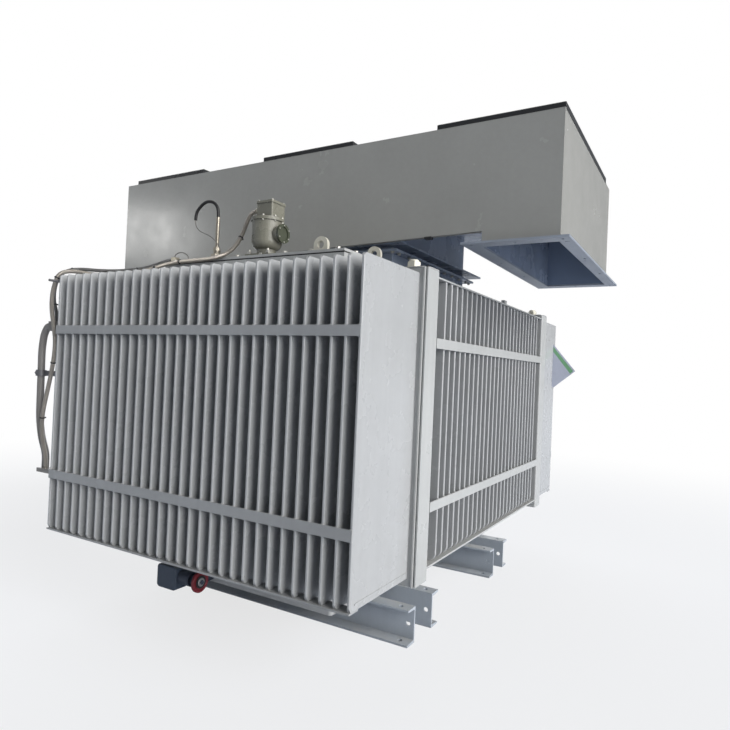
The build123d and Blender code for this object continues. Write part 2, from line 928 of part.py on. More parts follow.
bonding_wire.part.label = "bonding_wire"
export_step(bonding_wire.part, "parts/bonding_wire.step")
tag_card.part.label = "tag_card"
export_step(tag_card.part, "parts/tag_card.step")
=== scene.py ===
import json
import math

import bmesh
import bpy
import numpy as np
from mathutils import Matrix, Vector


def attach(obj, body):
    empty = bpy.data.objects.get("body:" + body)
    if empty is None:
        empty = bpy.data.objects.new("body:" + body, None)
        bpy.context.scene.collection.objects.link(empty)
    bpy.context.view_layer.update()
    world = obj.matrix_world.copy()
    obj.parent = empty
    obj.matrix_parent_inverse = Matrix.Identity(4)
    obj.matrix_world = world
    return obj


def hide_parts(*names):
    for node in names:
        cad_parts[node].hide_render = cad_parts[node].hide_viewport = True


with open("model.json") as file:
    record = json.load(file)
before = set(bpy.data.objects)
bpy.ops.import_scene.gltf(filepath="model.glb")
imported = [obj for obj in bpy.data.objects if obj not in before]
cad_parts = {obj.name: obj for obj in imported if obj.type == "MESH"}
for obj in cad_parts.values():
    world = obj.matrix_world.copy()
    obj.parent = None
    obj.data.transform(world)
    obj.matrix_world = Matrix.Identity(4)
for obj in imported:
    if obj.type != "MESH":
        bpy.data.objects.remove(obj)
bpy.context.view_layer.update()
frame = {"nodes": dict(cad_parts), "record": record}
N = frame["nodes"]
rng = np.random.default_rng(7)
scene = bpy.context.scene
HOUSING = "housing"
WHEEL = "wheel"

# ------------------------------------------------------------------- camera
a, e, roll = 0.53128730, -0.01211237, -0.04407547
eye = Vector((1.60286, -2.66037, 1.03401))
fwd = Vector((-math.sin(a) * math.cos(e), math.cos(a) * math.cos(e), -math.sin(e)))
right = Vector((math.cos(a), math.sin(a), 0.0))
down = fwd.cross(right)
r2 = math.cos(roll) * right + math.sin(roll) * down
d2 = -math.sin(roll) * right + math.cos(roll) * down
cam_data = bpy.data.cameras.new("camera")
cam = bpy.data.objects.new("camera", cam_data)
scene.collection.objects.link(cam)
m = Matrix.Identity(4)
for i in range(3):
    m[i][0] = r2[i]
    m[i][1] = -d2[i]
    m[i][2] = -fwd[i]
    m[i][3] = eye[i]
cam.matrix_world = m
cam_data.sensor_width = 36.0
cam_data.lens = 592.9196 * 36.0 / 730.0
cam_data.clip_start = 0.05
cam_data.clip_end = 100.0
scene.camera = cam


# ---------------------------------------------------------------- materials
def mat(
    name,
    base,
    rough=0.45,
    metal=0.0,
    vary=0.06,
    streak=0.05,
    dust=0.0,
    peel=0.0006,
    wave=0.0,
    wave_scale=5.0,
    bevel=0.0012,
    coat=0.0,
    crevice_shade=0.0,
    rib=None,
    spec=0.5,
    chips=0.0,
    side_shade=None,
    inner_shade=None,
):
    mt = bpy.data.materials.new(name)
    mt.use_nodes = True
    nt = mt.node_tree
    nt.nodes.clear()
    L = nt.links.new

    def nd(kind, **kw):
        n = nt.nodes.new(kind)
        for k, v in kw.items():
            setattr(n, k, v)
        return n

    out = nd("ShaderNodeOutputMaterial")
    bs = nd("ShaderNodeBsdfPrincipled")
    L(bs.outputs[0], out.inputs[0])
    bs.inputs["Metallic"].default_value = metal
    bs.inputs["Specular IOR Level"].default_value = spec
    if coat:
        bs.inputs["Coat Weight"].default_value = coat
        bs.inputs["Coat Roughness"].default_value = 0.12
    tc = nd("ShaderNodeTexCoord")

    def noise(scale, detail=3.0, stretch=None, rough_=0.55):
        n = nd("ShaderNodeTexNoise")
        n.inputs["Scale"].default_value = scale
        n.inputs["Detail"].default_value = detail
        n.inputs["Roughness"].default_value = rough_
        if stretch:
            mp = nd("ShaderNodeMapping")
            mp.inputs["Scale"].default_value = stretch
            L(tc.outputs["Object"], mp.inputs[0])
            L(mp.outputs[0], n.inputs["Vector"])
        else:
            L(tc.outputs["Object"], n.inputs["Vector"])
        return n.outputs["Fac"]

    def ramp(src, p0, c0, p1, c1):
        r = nd("ShaderNodeValToRGB")
        r.color_ramp.elements[0].position = p0
        r.color_ramp.elements[0].color = (*c0, 1)
        r.color_ramp.elements[1].position = p1
        r.color_ramp.elements[1].color = (*c1, 1)
        L(src, r.inputs[0])
        return r.outputs[0]

    def mix(kind, fac, x, y):
        mx = nd("ShaderNodeMix", data_type="RGBA", blend_type=kind)
        if isinstance(fac, float):
            mx.inputs[0].default_value = fac
        else:
            L(fac, mx.inputs[0])
        for sock, v in ((mx.inputs[6], x), (mx.inputs[7], y)):
            if isinstance(v, tuple):
                sock.default_value = (*v, 1)
            else:
                L(v, sock)
        return mx.outputs[2]

    lo = tuple(max(0.0, c * (1 - vary)) for c in base)
    hi = tuple(min(1.0, c * (1 + vary)) for c in base)
    col = ramp(noise(2.3, 4.0), 0.3, lo, 0.7, hi)
    if streak:
        s = ramp(
            noise(1.0, 5.0, stretch=(34.0, 34.0, 1.1)),
            0.35,
            (1 - streak,) * 3,
            0.7,
            (1.0,) * 3,
        )
        col = mix("MULTIPLY", 1.0, col, s)
    fine = ramp(noise(46.0, 6.0, rough_=0.7), 0.40, (0.975,) * 3, 0.60, (1.0,) * 3)
    col = mix("MULTIPLY", 1.0, col, fine)
    if dust:
        sep = nd("ShaderNodeSeparateXYZ")
        geo = nd("ShaderNodeNewGeometry")
        L(geo.outputs["Normal"], sep.inputs[0])
        up = nd("ShaderNodeMapRange")
        up.inputs["From Min"].default_value = 0.45
        up.inputs["From Max"].default_value = 1.0
        L(sep.outputs[2], up.inputs["Value"])
        patch = nd("ShaderNodeMath", operation="MULTIPLY")
        dn = nd("ShaderNodeMapRange")
        dn.inputs["From Min"].default_value = 0.35
        dn.inputs["From Max"].default_value = 0.65
        dn.inputs["To Max"].default_value = dust
        L(noise(9.0, 6.0), dn.inputs["Value"])
        L(up.outputs[0], patch.inputs[0])
        L(dn.outputs[0], patch.inputs[1])
        col = mix("MIX", patch.outputs[0], col, (0.50, 0.47, 0.42))
    # Painted crevice shade: an ambient-occlusion mask darkens the colour towards 35 % of the base where nearby
    # geometry occludes.
    if crevice_shade:
        ao = nd("ShaderNodeAmbientOcclusion", samples=6)
        ao.inputs["Distance"].default_value = 0.06
        crevice_shade_map = nd("ShaderNodeMapRange")
        crevice_shade_map.inputs["From Min"].default_value = 0.35
        crevice_shade_map.inputs["From Max"].default_value = 0.95
        crevice_shade_map.inputs["To Min"].default_value = crevice_shade
        crevice_shade_map.inputs["To Max"].default_value = 0.0
        L(ao.outputs["AO"], crevice_shade_map.inputs["Value"])
        col = mix("MIX", crevice_shade_map.outputs[0], col, tuple(c * 0.35 for c in base))
    if chips:
        ch = ramp(noise(28.0, 8.0, rough_=0.8), 0.66, (0, 0, 0), 0.70, (chips,) * 3)
        col = mix("MIX", ch, col, (0.20, 0.13, 0.09))
    # Painted shade: faces whose normal points along the given direction (a wall's inward side) are mixed to a darker
    # slate blue.
    if inner_shade:
        ig = nd("ShaderNodeNewGeometry")
        iv = nd("ShaderNodeVectorMath", operation="DOT_PRODUCT")
        iv.inputs[1].default_value = inner_shade
        L(ig.outputs["Normal"], iv.inputs[0])
        im = nd("ShaderNodeMapRange")
        im.inputs["From Min"].default_value = 0.4
        im.inputs["From Max"].default_value = 0.6
        L(iv.outputs["Value"], im.inputs["Value"])
        col = mix("MIX", im.outputs[0], col, (0.26, 0.32, 0.44))
    # Faces that do not point up are mixed to the given near-black: painted shade along the lid rims, partly also the
    # dark gasket look.
    if side_shade:
        sn = nd("ShaderNodeSeparateXYZ")
        sg = nd("ShaderNodeNewGeometry")
        L(sg.outputs["Normal"], sn.inputs[0])
        sm = nd("ShaderNodeMapRange")
        sm.inputs["From Min"].default_value = 0.3
        sm.inputs["From Max"].default_value = 0.6
        sm.inputs["To Min"].default_value = 1.0
        sm.inputs["To Max"].default_value = 0.0
        L(sn.outputs[2], sm.inputs["Value"])
        col = mix("MIX", sm.outputs[0], col, side_shade)
    L(col, bs.inputs["Base Color"])
    rr = nd("ShaderNodeMapRange")
    rr.inputs["To Min"].default_value = max(0.04, rough - 0.05)
    rr.inputs["To Max"].default_value = min(1.0, rough + 0.07)
    rr.inputs["From Min"].default_value = 0.3
    rr.inputs["From Max"].default_value = 0.7
    L(noise(7.0, 5.0), rr.inputs["Value"])
    L(rr.outputs[0], bs.inputs["Roughness"])
    normal = None
    if bevel:
        bv = nd("ShaderNodeBevel", samples=4)
        bv.inputs["Radius"].default_value = bevel
        normal = bv.outputs[0]

    def bump(height, dist, strength=1.0):
        nonlocal normal
        b = nd("ShaderNodeBump")
        b.inputs["Strength"].default_value = strength
        b.inputs["Distance"].default_value = dist
        L(height, b.inputs["Height"])
        if normal is not None:
            L(normal, b.inputs["Normal"])
        normal = b.outputs[0]

    if wave:
        bump(noise(wave_scale, 2.0), wave)
    if peel:
        bump(noise(240.0, 2.0), peel)
    if rib:
        sx = nd("ShaderNodeSeparateXYZ")
        L(tc.outputs["UV"], sx.inputs[0])
        k = nd("ShaderNodeMath", operation="MULTIPLY")
        k.inputs[1].default_value = 2 * math.pi / rib
        L(sx.outputs[0], k.inputs[0])
        sn = nd("ShaderNodeMath", operation="SINE")
        L(k.outputs[0], sn.inputs[0])
        bump(sn.outputs[0], 0.0012)
    if normal is not None:
        L(normal, bs.inputs["Normal"])
    return mt


# The AO-darkening argument in these paints sets the strength of painted crevice shade.
MAT = {
    "grey_paint": mat("grey_paint", (0.445, 0.455, 0.455), 0.32, vary=0.04, dust=0.25, crevice_shade=0.20, wave=0.005, wave_scale=1.3, peel=0.0003),
    "fin_paint": mat("fin_paint", (0.415, 0.425, 0.435), 0.26, vary=0.04, streak=0.05, dust=0.08, wave=0.006, wave_scale=1.1, coat=0.12, peel=0.0, bevel=0.0),
    "skid_paint": mat("skid_paint", (0.40, 0.44, 0.49), 0.36, vary=0.08, dust=0.4, crevice_shade=0.35, chips=0.35),
    "duct_paint": mat("duct_paint", (0.36, 0.36, 0.342), 0.21, vary=0.04, streak=0.012, dust=0.2, wave=0.016, wave_scale=0.8, crevice_shade=0.2, coat=0.15, peel=0.0),
    # Bar paint: the grey paint made darker for the front and back bars, painted shade on their front-facing surfaces.
    "bar_shade_paint": mat("bar_shade_paint", (0.35, 0.36, 0.368), 0.34, vary=0.06, streak=0.03, dust=0.15, peel=0.0002, crevice_shade=0.15),
    # Lid paint: rim faces near-black, painted shade that partly stands for the dark gasket under the lids.
    "lid_paint": mat("lid_paint", (0.36, 0.36, 0.342), 0.30, vary=0.05, streak=0.0, dust=0.25, peel=0.0, side_shade=(0.028, 0.029, 0.031)),
    # Under paint: a darker slate blue for the throat, duct floor and outlet side wall, painted shade on these
    # undersides and inner walls.
    "under_shade_paint": mat("under_shade_paint", (0.31, 0.365, 0.47), 0.26, vary=0.10, streak=0.04, dust=0.3, crevice_shade=0.2, peel=0.0, wave=0.008, wave_scale=1.5),
    # Rim paint: slate blue for the outlet flange, painted shade; its chips are real wear.
    "rim_shade_paint": mat("rim_shade_paint", (0.31, 0.345, 0.41), 0.32, vary=0.10, streak=0.04, dust=0.3, crevice_shade=0.3, chips=0.25),
    "black_rubber": mat("black_rubber", (0.012, 0.012, 0.013), 0.55, streak=0.0, dust=0.1),
    "relay_casting": mat("relay_casting", (0.20, 0.197, 0.16), 0.28, vary=0.10, dust=0.3, crevice_shade=0.5, peel=0.0015),
    "nickel_brass": mat("nickel_brass", (0.52, 0.48, 0.38), 0.32, metal=0.85, streak=0.0),
    "pocket_brass": mat("pocket_brass", (0.34, 0.31, 0.26), 0.34, metal=0.8, streak=0.0),
    "capillary_steel": mat("capillary_steel", (0.20, 0.19, 0.18), 0.4, metal=0.4, streak=0.0),
    "zinc_yellow": mat("zinc_yellow", (0.68, 0.66, 0.57), 0.38, metal=0.15, vary=0.12, crevice_shade=0.4),
    # Valve casting: near-black navy, painted shade on a valve body that carries the grey paint.
    "valve_casting": mat("valve_casting", (0.045, 0.058, 0.088), 0.42, vary=0.12, dust=0.08, crevice_shade=0.4, peel=0.0015),
    "cap_plastic": mat("cap_plastic", (0.055, 0.075, 0.11), 0.45, streak=0.0, dust=0.25, peel=0.001),
    "red_paint": mat("red_paint", (0.20, 0.02, 0.03), 0.42, vary=0.15, crevice_shade=0.4, chips=0.3),
    "conduit_steel": mat("conduit_steel", (0.50, 0.46, 0.41), 0.38, metal=0.75, streak=0.0, rib=0.0045, bevel=0.0),
    "dark_conduit": mat("dark_conduit", (0.17, 0.17, 0.17), 0.40, metal=0.6, streak=0.0, rib=0.0045, bevel=0.0),
    "pipe_paint": mat("pipe_paint", (0.22, 0.21, 0.20), 0.32, vary=0.10, crevice_shade=0.2),
    "clamp_steel": mat("clamp_steel", (0.16, 0.16, 0.17), 0.40, metal=0.5, streak=0.0, crevice_shade=0.3),
    "card_white": mat("card_white", (0.52, 0.55, 0.66), 0.6, vary=0.03, streak=0.0, bevel=0.0),
    "bolt_zinc": mat("bolt_zinc", (0.55, 0.54, 0.50), 0.34, metal=0.8, streak=0.0, crevice_shade=0.5),
    "hub_steel": mat("hub_steel", (0.40, 0.40, 0.41), 0.36, metal=0.6, streak=0.0, crevice_shade=0.3),
    "dark_seal": mat("dark_seal", (0.02, 0.021, 0.024), 0.6, streak=0.0, bevel=0.0),
}


def glass(name):
    mt = bpy.data.materials.new(name)
    mt.use_nodes = True
    nt = mt.node_tree
    bs = nt.nodes["Principled BSDF"]
    n = nt.nodes.new("ShaderNodeTexNoise")
    n.inputs["Scale"].default_value = 30.0
    r = nt.nodes.new("ShaderNodeValToRGB")
    r.color_ramp.elements[0].color = (0.035, 0.04, 0.028, 1)
    r.color_ramp.elements[1].color = (0.09, 0.10, 0.07, 1)
    nt.links.new(n.outputs["Fac"], r.inputs[0])
    nt.links.new(r.outputs[0], bs.inputs["Base Color"])
    bs.inputs["Roughness"].default_value = 0.06
    bs.inputs["Coat Weight"].default_value = 0.6
    bs.inputs["Coat Roughness"].default_value = 0.03
    return mt


MAT["window_glass"] = glass("window_glass")

# Duct paint copies for the front, back and right walls, each with painted shade on its inward-facing side.
for key, look in (("front", (0, 1, 0)), ("back", (0, -1, 0)), ("right", (-1, 0, 0))):
    MAT["duct_" + key] = mat(
        "duct_" + key, (0.36, 0.36, 0.342), 0.21, vary=0.04, streak=0.012, dust=0.2,
        wave=0.016, wave_scale=0.8, crevice_shade=0.2, coat=0.15, peel=0.0, inner_shade=look,
    )

# The bar, under, rim and duct-wall paints assigned here carry painted shade.
LOOK = {
    "front_bars": "bar_shade_paint",
    "back_bars": "bar_shade_paint",
    "throat_lower": "under_shade_paint",
    "throat_spacer": "under_shade_paint",
    "throat_upper": "under_shade_paint",
    "duct_floor": "under_shade_paint",
    "outlet_side_wall": "under_shade_paint",
    "outlet_flange": "rim_shade_paint",
    "duct_lid_left": "lid_paint",
    "duct_lid_middle": "lid_paint",
    "duct_lid_right": "lid_paint",
    "duct_front": "duct_front",
    "duct_back": "duct_back",
    "duct_right_end": "duct_right",
}

slot_of = {s["node"]: s["material_slot"] for s in frame["record"]["subparts"]}
for name, obj in N.items():
    mt = MAT.get(LOOK.get(name, slot_of.get(name, "grey_paint")), MAT["grey_paint"])
    if not obj.material_slots:
        obj.data.materials.append(mt)
    for s in obj.material_slots:
        s.material = mt


# ------------------------------------------------------------------ helpers
def put(name, verts, faces, material, body=HOUSING, smooth=False, uv=None):
    me = bpy.data.meshes.new(name)
    me.from_pydata([tuple(v) for v in verts], [], [tuple(f) for f in faces])
    me.validate()
    me.update()
    if uv is not None:
        layer = me.uv_layers.new(name="UVMap")
        for lp in me.loops:
            layer.data[lp.index].uv = uv[lp.vertex_index]
    me.materials.append(MAT[material])
    ob = bpy.data.objects.new(name, me)
    scene.collection.objects.link(ob)
    if smooth:
        for p in me.polygons:
            p.use_smooth = True
    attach(ob, body)
    return ob


class Bag:
    """Verts and faces of many small shapes, joined in one mesh."""

    def __init__(self):
        self.v = []
        self.f = []

    def add(self, verts, faces):
        o = len(self.v)
        self.v.extend(verts)
        self.f.extend([tuple(i + o for i in f) for f in faces])


def basis(axis):
    w = Vector(axis).normalized()
    h = Vector((0, 0, 1)) if abs(w.z) < 0.9 else Vector((1, 0, 0))
    u = h.cross(w).normalized()
    return u, w.cross(u), w


def prism(bag, pos, axis, rings, n=6, spin=0.0):
    """Rings of (radius, height) stacked along axis from pos, closed at both ends."""
    u, v, w = basis(axis)
    p = Vector(pos)
    verts = []
    for r, h in rings:
        for k in range(n):
            t = spin + 2 * math.pi * k / n
            verts.append(p + w * h + (u * math.cos(t) + v * math.sin(t)) * r)
    faces = []
    for i in range(len(rings) - 1):
        for k in range(n):
            k2 = (k + 1) % n
            faces.append((i * n + k, i * n + k2, (i + 1) * n + k2, (i + 1) * n + k))
    faces.append(tuple(reversed(range(n))))
    faces.append(tuple((len(rings) - 1) * n + k for k in range(n)))
    bag.add(verts, faces)


def bolt(bag, pos, axis, r=0.0095, h=0.0075, washer=True, shank=0.0):
    z = 0.0
    if washer:
        prism(bag, pos, axis, [(r * 1.28, 0), (r * 1.3, 0.0018), (r * 1.24, 0.0024)], 18)
        z = 0.0024
    s = float(rng.uniform(0, 1))
    prism(
        bag,
        pos,
        axis,
        [(r, z), (r, z + h * 0.86), (r * 0.86, z + h)],
        6,
        s,
    )
    if shank:
        prism(bag, pos, axis, [(r * 0.52, z + h), (r * 0.52, z + h + shank), (r * 0.42, z + h + shank + 0.0015)], 10)


def brick(bag, lo, hi, c=0.001):
    """A box with small bevels on every edge."""
    bm = bmesh.new()
    bmesh.ops.create_cube(bm, size=1.0)
    d = [hi[i] - lo[i] for i in range(3)]
    mid = [(hi[i] + lo[i]) / 2 for i in range(3)]
    bmesh.ops.scale(bm, vec=d, verts=bm.verts)
    bmesh.ops.translate(bm, vec=mid, verts=bm.verts)
    c = min(c, min(d) * 0.3)
    bmesh.ops.bevel(bm, geom=bm.edges[:], offset=c, segments=2, affect="EDGES")
    bm.verts.index_update()
    bag.add([v.co.copy() for v in bm.verts], [tuple(v.index for v in f.verts) for f in bm.faces])
    bm.free()


def bead(bag, p0, p1, r=0.004, pitch=0.007, n=6):
    """A lumpy weld bead along a straight line."""
    p0, p1 = Vector(p0), Vector(p1)
    length = (p1 - p0).length
    k = max(2, int(length / pitch))
    u, v, w = basis(p1 - p0)
    verts = []
    for i in range(k + 1):
        t = i / k
        rr = r * (0.82 + 0.18 * (i % 2) + float(rng.uniform(-0.1, 0.12)))
        if i in (0, k):
            rr *= 0.4
        off = (u * float(rng.uniform(-1, 1)) + v * float(rng.uniform(-1, 1))) * r * 0.1
        for j in range(n):
            q = 2 * math.pi * j / n
            verts.append(p0 + w * length * t + off + (u * math.cos(q) + v * math.sin(q)) * rr)
    faces = []
    for i in range(k):
        for j in range(n):
            j2 = (j + 1) % n
            faces.append((i * n + j, i * n + j2, (i + 1) * n + j2, (i + 1) * n + j))
    faces.append(tuple(reversed(range(n))))
    faces.append(tuple(k * n + j for j in range(n)))
    bag.add(verts, faces)


def curve_points(name, pts, res=12):
    """The points of a smooth NURBS line through the route's control points."""
    cu = bpy.data.curves.new(name + "_line", "CURVE")
    cu.dimensions = "3D"
    cu.resolution_u = res
    sp = cu.splines.new("NURBS")
    sp.points.add(len(pts) - 1)
    for q, p in zip(sp.points, pts):
        q.co = (*p, 1.0)
    sp.order_u = 3
    sp.use_endpoint_u = True
    ob = bpy.data.objects.new(name + "_line", cu)
    scene.collection.objects.link(ob)
    bpy.context.view_layer.update()
    me = bpy.data.meshes.new_from_object(ob)
    out = [v.co.copy() for v in me.vertices]
    bpy.data.objects.remove(ob)
    bpy.data.curves.remove(cu)
    bpy.data.meshes.remove(me)
    return out


def sweep_tube(name, pts, r, material, node, n=20, res=12):
    line = curve_points(name, pts, res)
    clean = [line[0]]
    for p in line[1:]:
        if (p - clean[-1]).length > 1e-5:
            clean.append(p)
    line = clean
    verts, uv = [], []
    u = None
    s = 0.0
    for i, p in enumerate(line):
        t = (line[min(i + 1, len(line) - 1)] - line[max(i - 1, 0)]).normalized()
        if u is None:
            u, _, _ = basis(t)
        u = (u - t * u.dot(t)).normalized()
        v = t.cross(u)
        if i:
            s += (p - line[i - 1]).length
        for k in range(n + 1):
            q = 2 * math.pi * k / n
            verts.append(p + (u * math.cos(q) + v * math.sin(q)) * r)
            uv.append((s, k / n))
    faces = []
    w = n + 1
    for i in range(len(line) - 1):
        for k in range(n):
            faces.append((i * w + k, i * w + k + 1, (i + 1) * w + k + 1, (i + 1) * w + k))
    faces.append(tuple(reversed(range(n))))
    faces.append(tuple((len(line) - 1) * w + k for k in range(n)))
    ob = put(name, verts, faces, material, smooth=True, uv=uv)
    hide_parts(node)
    return ob, line, s


# ------------------------------------------------------------ conduits, wires
MM = 0.001


def mm(points):
    return [tuple(c * MM for c in p) for p in points]


relay_route = mm(
    [
        (-16, -822, 1668),
        (-44, -822, 1668),
        (-60, -831, 1632),
        (-67, -844, 1582),
        (-76, -869, 1526),
        (-92, -900, 1488),
        (-140, -909, 1472),
        (-208, -909, 1467),
        (-290, -908, 1467),
        (-365, -909, 1465),
        (-428, -911, 1461),
        (-476, -920, 1449),
        (-514, -948, 1430),
        (-544, -990, 1412),
        (-574, -1035, 1399),
        (-612, -1080, 1392),
        (-655, -1118, 1393),
        (-706, -1164, 1402),
        (-750, -1192, 1390),
        (-768, -1198, 1350),
        (-782, -1199, 1300),
        (-785, -1197, 1245),
        (-770, -1196, 1185),
        (-751, -1195, 1120),
        (-752, -1194, 1055),
        (-774, -1190, 975),
        (-803, -1186, 895),
        (-829, -1184, 815),
        (-837, -1183, 748),
        (-822, -1184, 680),
        (-788, -1186, 622),
        (-788, -1186, 574),
    ]
)
second_route = mm(
    [
        (-446, -868, 1486),
        (-478, -868, 1486),
        (-508, -896, 1466),
        (-534, -944, 1440),
        (-562, -1000, 1424),
        (-598, -1052, 1414),
        (-642, -1096, 1411),
        (-694, -1130, 1414),
        (-748, -1158, 1408),
        (-786, -1172, 1380),
        (-804, -1176, 1330),
        (-806, -1175, 1275),
        (-790, -1169, 1228),
        (-790, -1169, 1190),
    ]
)
sheath_route = mm(
    [
        (-205, -850, 1655),
        (-205, -850, 1684),
        (-220, -850, 1711),
        (-248, -850, 1727),
        (-282, -850, 1728),
        (-313, -850, 1710),
        (-337, -850, 1684),
        (-337, -850, 1655),
    ]
)
capillary_route = mm(
    [
        (-337, -850, 1655),
        (-337, -850, 1635),
        (-316, -855, 1612),
        (-284, -861, 1595),
        (-246, -866, 1582),
        (-208, -869, 1562),
        (-178, -870, 1534),
        (-160, -869, 1502),
        (-160, -869, 1473),
    ]
)
wire_route = mm(
    [
        (-430, -872, 1495),
        (-430, -872, 1504),
        (-412, -873, 1513),
        (-388, -873, 1515),
        (-362, -872, 1508),
        (-346, -871, 1492),
        (-346, -871, 1473),
    ]
)
con1, line1, len1 = sweep_tube("conduit_long", relay_route, 0.0085, "conduit_steel", "relay_conduit", res=10)
con2, line2, len2 = sweep_tube("conduit_short", second_route, 0.007, "dark_conduit", "second_conduit", res=10)
sheath, line3, len3 = sweep_tube("sheath", sheath_route, 0.0065, "black_rubber", "sensor_sheath")
cap, line4, len4 = sweep_tube("capillary", capillary_route, 0.002, "capillary_steel", "sensor_capillary", n=10)
wire, line5, len5 = sweep_tube("wire", wire_route, 0.002, "capillary_steel", "bonding_wire", n=10)
print("lengths", len1, len2, len3, len4, len5)

# -------------------------------------------------------------------- bolts
edge = Bag()
z_top, z_bot = 1.473, 1.438
for i in range(8):
    x = -0.42 + 0.84 * i / 7
    for y in (-0.877, 0.877):
        bolt(edge, (x, y, z_top), (0, 0, 1), 0.0095, 0.0075)
        bolt(edge, (x, y, z_bot), (0, 0, -1), 0.0095, 0.009, shank=0.008)
for i in range(15):
    y = -0.79 + 1.58 * i / 14
    for x in (-0.442, 0.442):
        bolt(edge, (x, y, z_top), (0, 0, 1), 0.0095, 0.0075)
        bolt(edge, (x, y, z_bot), (0, 0, -1), 0.0095, 0.009, shank=0.008)
put("cover_bolts", edge.v, edge.f, "bolt_zinc")

fl = Bag()
for i in range(9):
    x = -0.416 + 0.832 * i / 8
    for y in (-0.452, 0.452):
        bolt(fl, (x, y, 1.560), (0, 0, 1), 0.007, 0.0045, washer=False)
        bolt(fl, (x, y, 1.551), (0, 0, -1), 0.007, 0.006)
for i in range(9):
    y = -0.40 + 0.80 * i / 8
    for x in (-0.420, 0.420):
        bolt(fl, (x, y, 1.551), (0, 0, -1), 0.007, 0.006)
        bolt(fl, (x, y, 1.560), (0, 0, 1), 0.007, 0.0045, washer=False)
put("throat_bolts", fl.v, fl.f, "bolt_zinc")

rb = Bag()
cx, cy = 0.040, -0.822
for k in range(8):
    t = math.radians(22.5 + 45 * k)
    bolt(rb, (cx + 0.060 * math.cos(t), cy + 0.060 * math.sin(t), 1.631), (0, 0, 1), 0.0042, 0.004)
    bolt(rb, (cx + 0.0615 * math.cos(t), cy + 0.0615 * math.sin(t), 1.618), (0, 0, -1), 0.004, 0.005, washer=False)
for dx in (-0.047, 0.047):
    for dy in (-0.047, 0.047):
        bolt(rb, (cx + dx, cy + dy, 1.483), (0, 0, 1), 0.0085, 0.009, shank=0.006)
for dx in (-0.034, 0.034):
    for dy in (-0.035, 0.035):
        bolt(rb, (0.054 + dx, cy + dy, 1.695), (0, 0, 1), 0.0045, 0.0035)
for k in range(6):
    t = math.radians(30 + 60 * k)
    bolt(rb, (0.126, cy + 0.0325 * math.cos(t), 1.565 + 0.0325 * math.sin(t)), (1, 0, 0), 0.003, 0.003, washer=False)
put("relay_bolts", rb.v, rb.f, "bolt_zinc")

# --------------------------------------------------------------- weld beads
wb = Bag()
for sx in (-1, 1):
    for sy in (-1, 1):
        bead(wb, (sx * 0.43, sy * 0.834, 0.16), (sx * 0.43, sy * 0.834, 0.30), 0.003)
        bead(wb, (sx * 0.432, sy * 0.832, 1.402), (sx * 0.75, sy * 0.832, 1.402), 0.003)
        bead(wb, (sx * 0.43, sy * 0.733, 1.4025), (sx * 0.752, sy * 0.733, 1.4025), 0.003)
        bead(wb, (sx * 0.7585, sy * 0.735, 1.4015), (sx * 0.7585, sy * 0.820, 1.4015), 0.003)
for y in (-0.832, 0.832):
    bead(wb, (-0.43, y, 1.4375), (0.43, y, 1.4375), 0.0035)
for x in (-0.43, 0.43):
    bead(wb, (x, -0.83, 1.4375), (x, 0.83, 1.4375), 0.0035)
for y in (-0.555, -0.398, 0.398, 0.555):
    bead(wb, (-0.43, y, 0.1415), (0.43, y, 0.1415), 0.004)
# bars to every fin
xs = [(-725 + 50 * i) * MM for i in range(30)]
for x in xs:
    for sy in (-1, 1):
        for z in (1.137, 1.170, 0.546, 0.581):
            bead(wb, (x - 0.006, sy * 1.2045, z), (x + 0.006, sy * 1.2045, z), 0.0025, 0.003)
ys = [(i - 12) * 0.054 for i in range(25)]
for y in ys:
    for sx in (-1, 1):
        for z in (1.129, 1.165, 0.551, 0.586):
            bead(wb, (sx * 0.7555, y - 0.006, z), (sx * 0.7555, y + 0.006, z), 0.0025, 0.003)
put("weld_beads", wb.v, wb.f, "grey_paint", smooth=True)

# fold line round the outer faces of the end fins
rim = Bag()
for sx in (-1, 1):
    x0 = sx * 0.730
    x1 = sx * 0.7318
    for sy in (-1, 1):
        lo, hi = min(x0, x1), max(x0, x1)
        ya, yb = sorted((sy * 0.835, sy * 1.176))
        brick(rim, (lo, ya, 0.358), (hi, yb, 0.364), 0.0006)
put("fin_rims", rim.v, rim.f, "fin_paint")

# ---------------------------------------------------------------- duct trim
tr = Bag()
for x0 in (-1.170, -0.276, 0.620):
    brick(tr, (x0 - 0.0015, -0.5015, 2.0042), (x0 + 0.5015, 0.4115, 2.0105), 0.0005)
put("lid_seals", tr.v, tr.f, "dark_seal")
tb = Bag()
for x0 in (-1.170, -0.276, 0.620):
    for i in range(5):
        x = x0 + 0.03 + 0.44 * i / 4
        bolt(tb, (x, -0.478, 2.036), (0, 0, 1), 0.0055, 0.004, washer=False)
        bolt(tb, (x, 0.388, 2.036), (0, 0, 1), 0.0055, 0.004, washer=False)
put("lid_screws", tb.v, tb.f, "bolt_zinc")
br = Bag()
brick(br, (0.592, -0.520, 1.5740), (0.622, -0.498, 1.5835), 0.001)
put("skirt_bracket", br.v, br.f, "dark_seal")

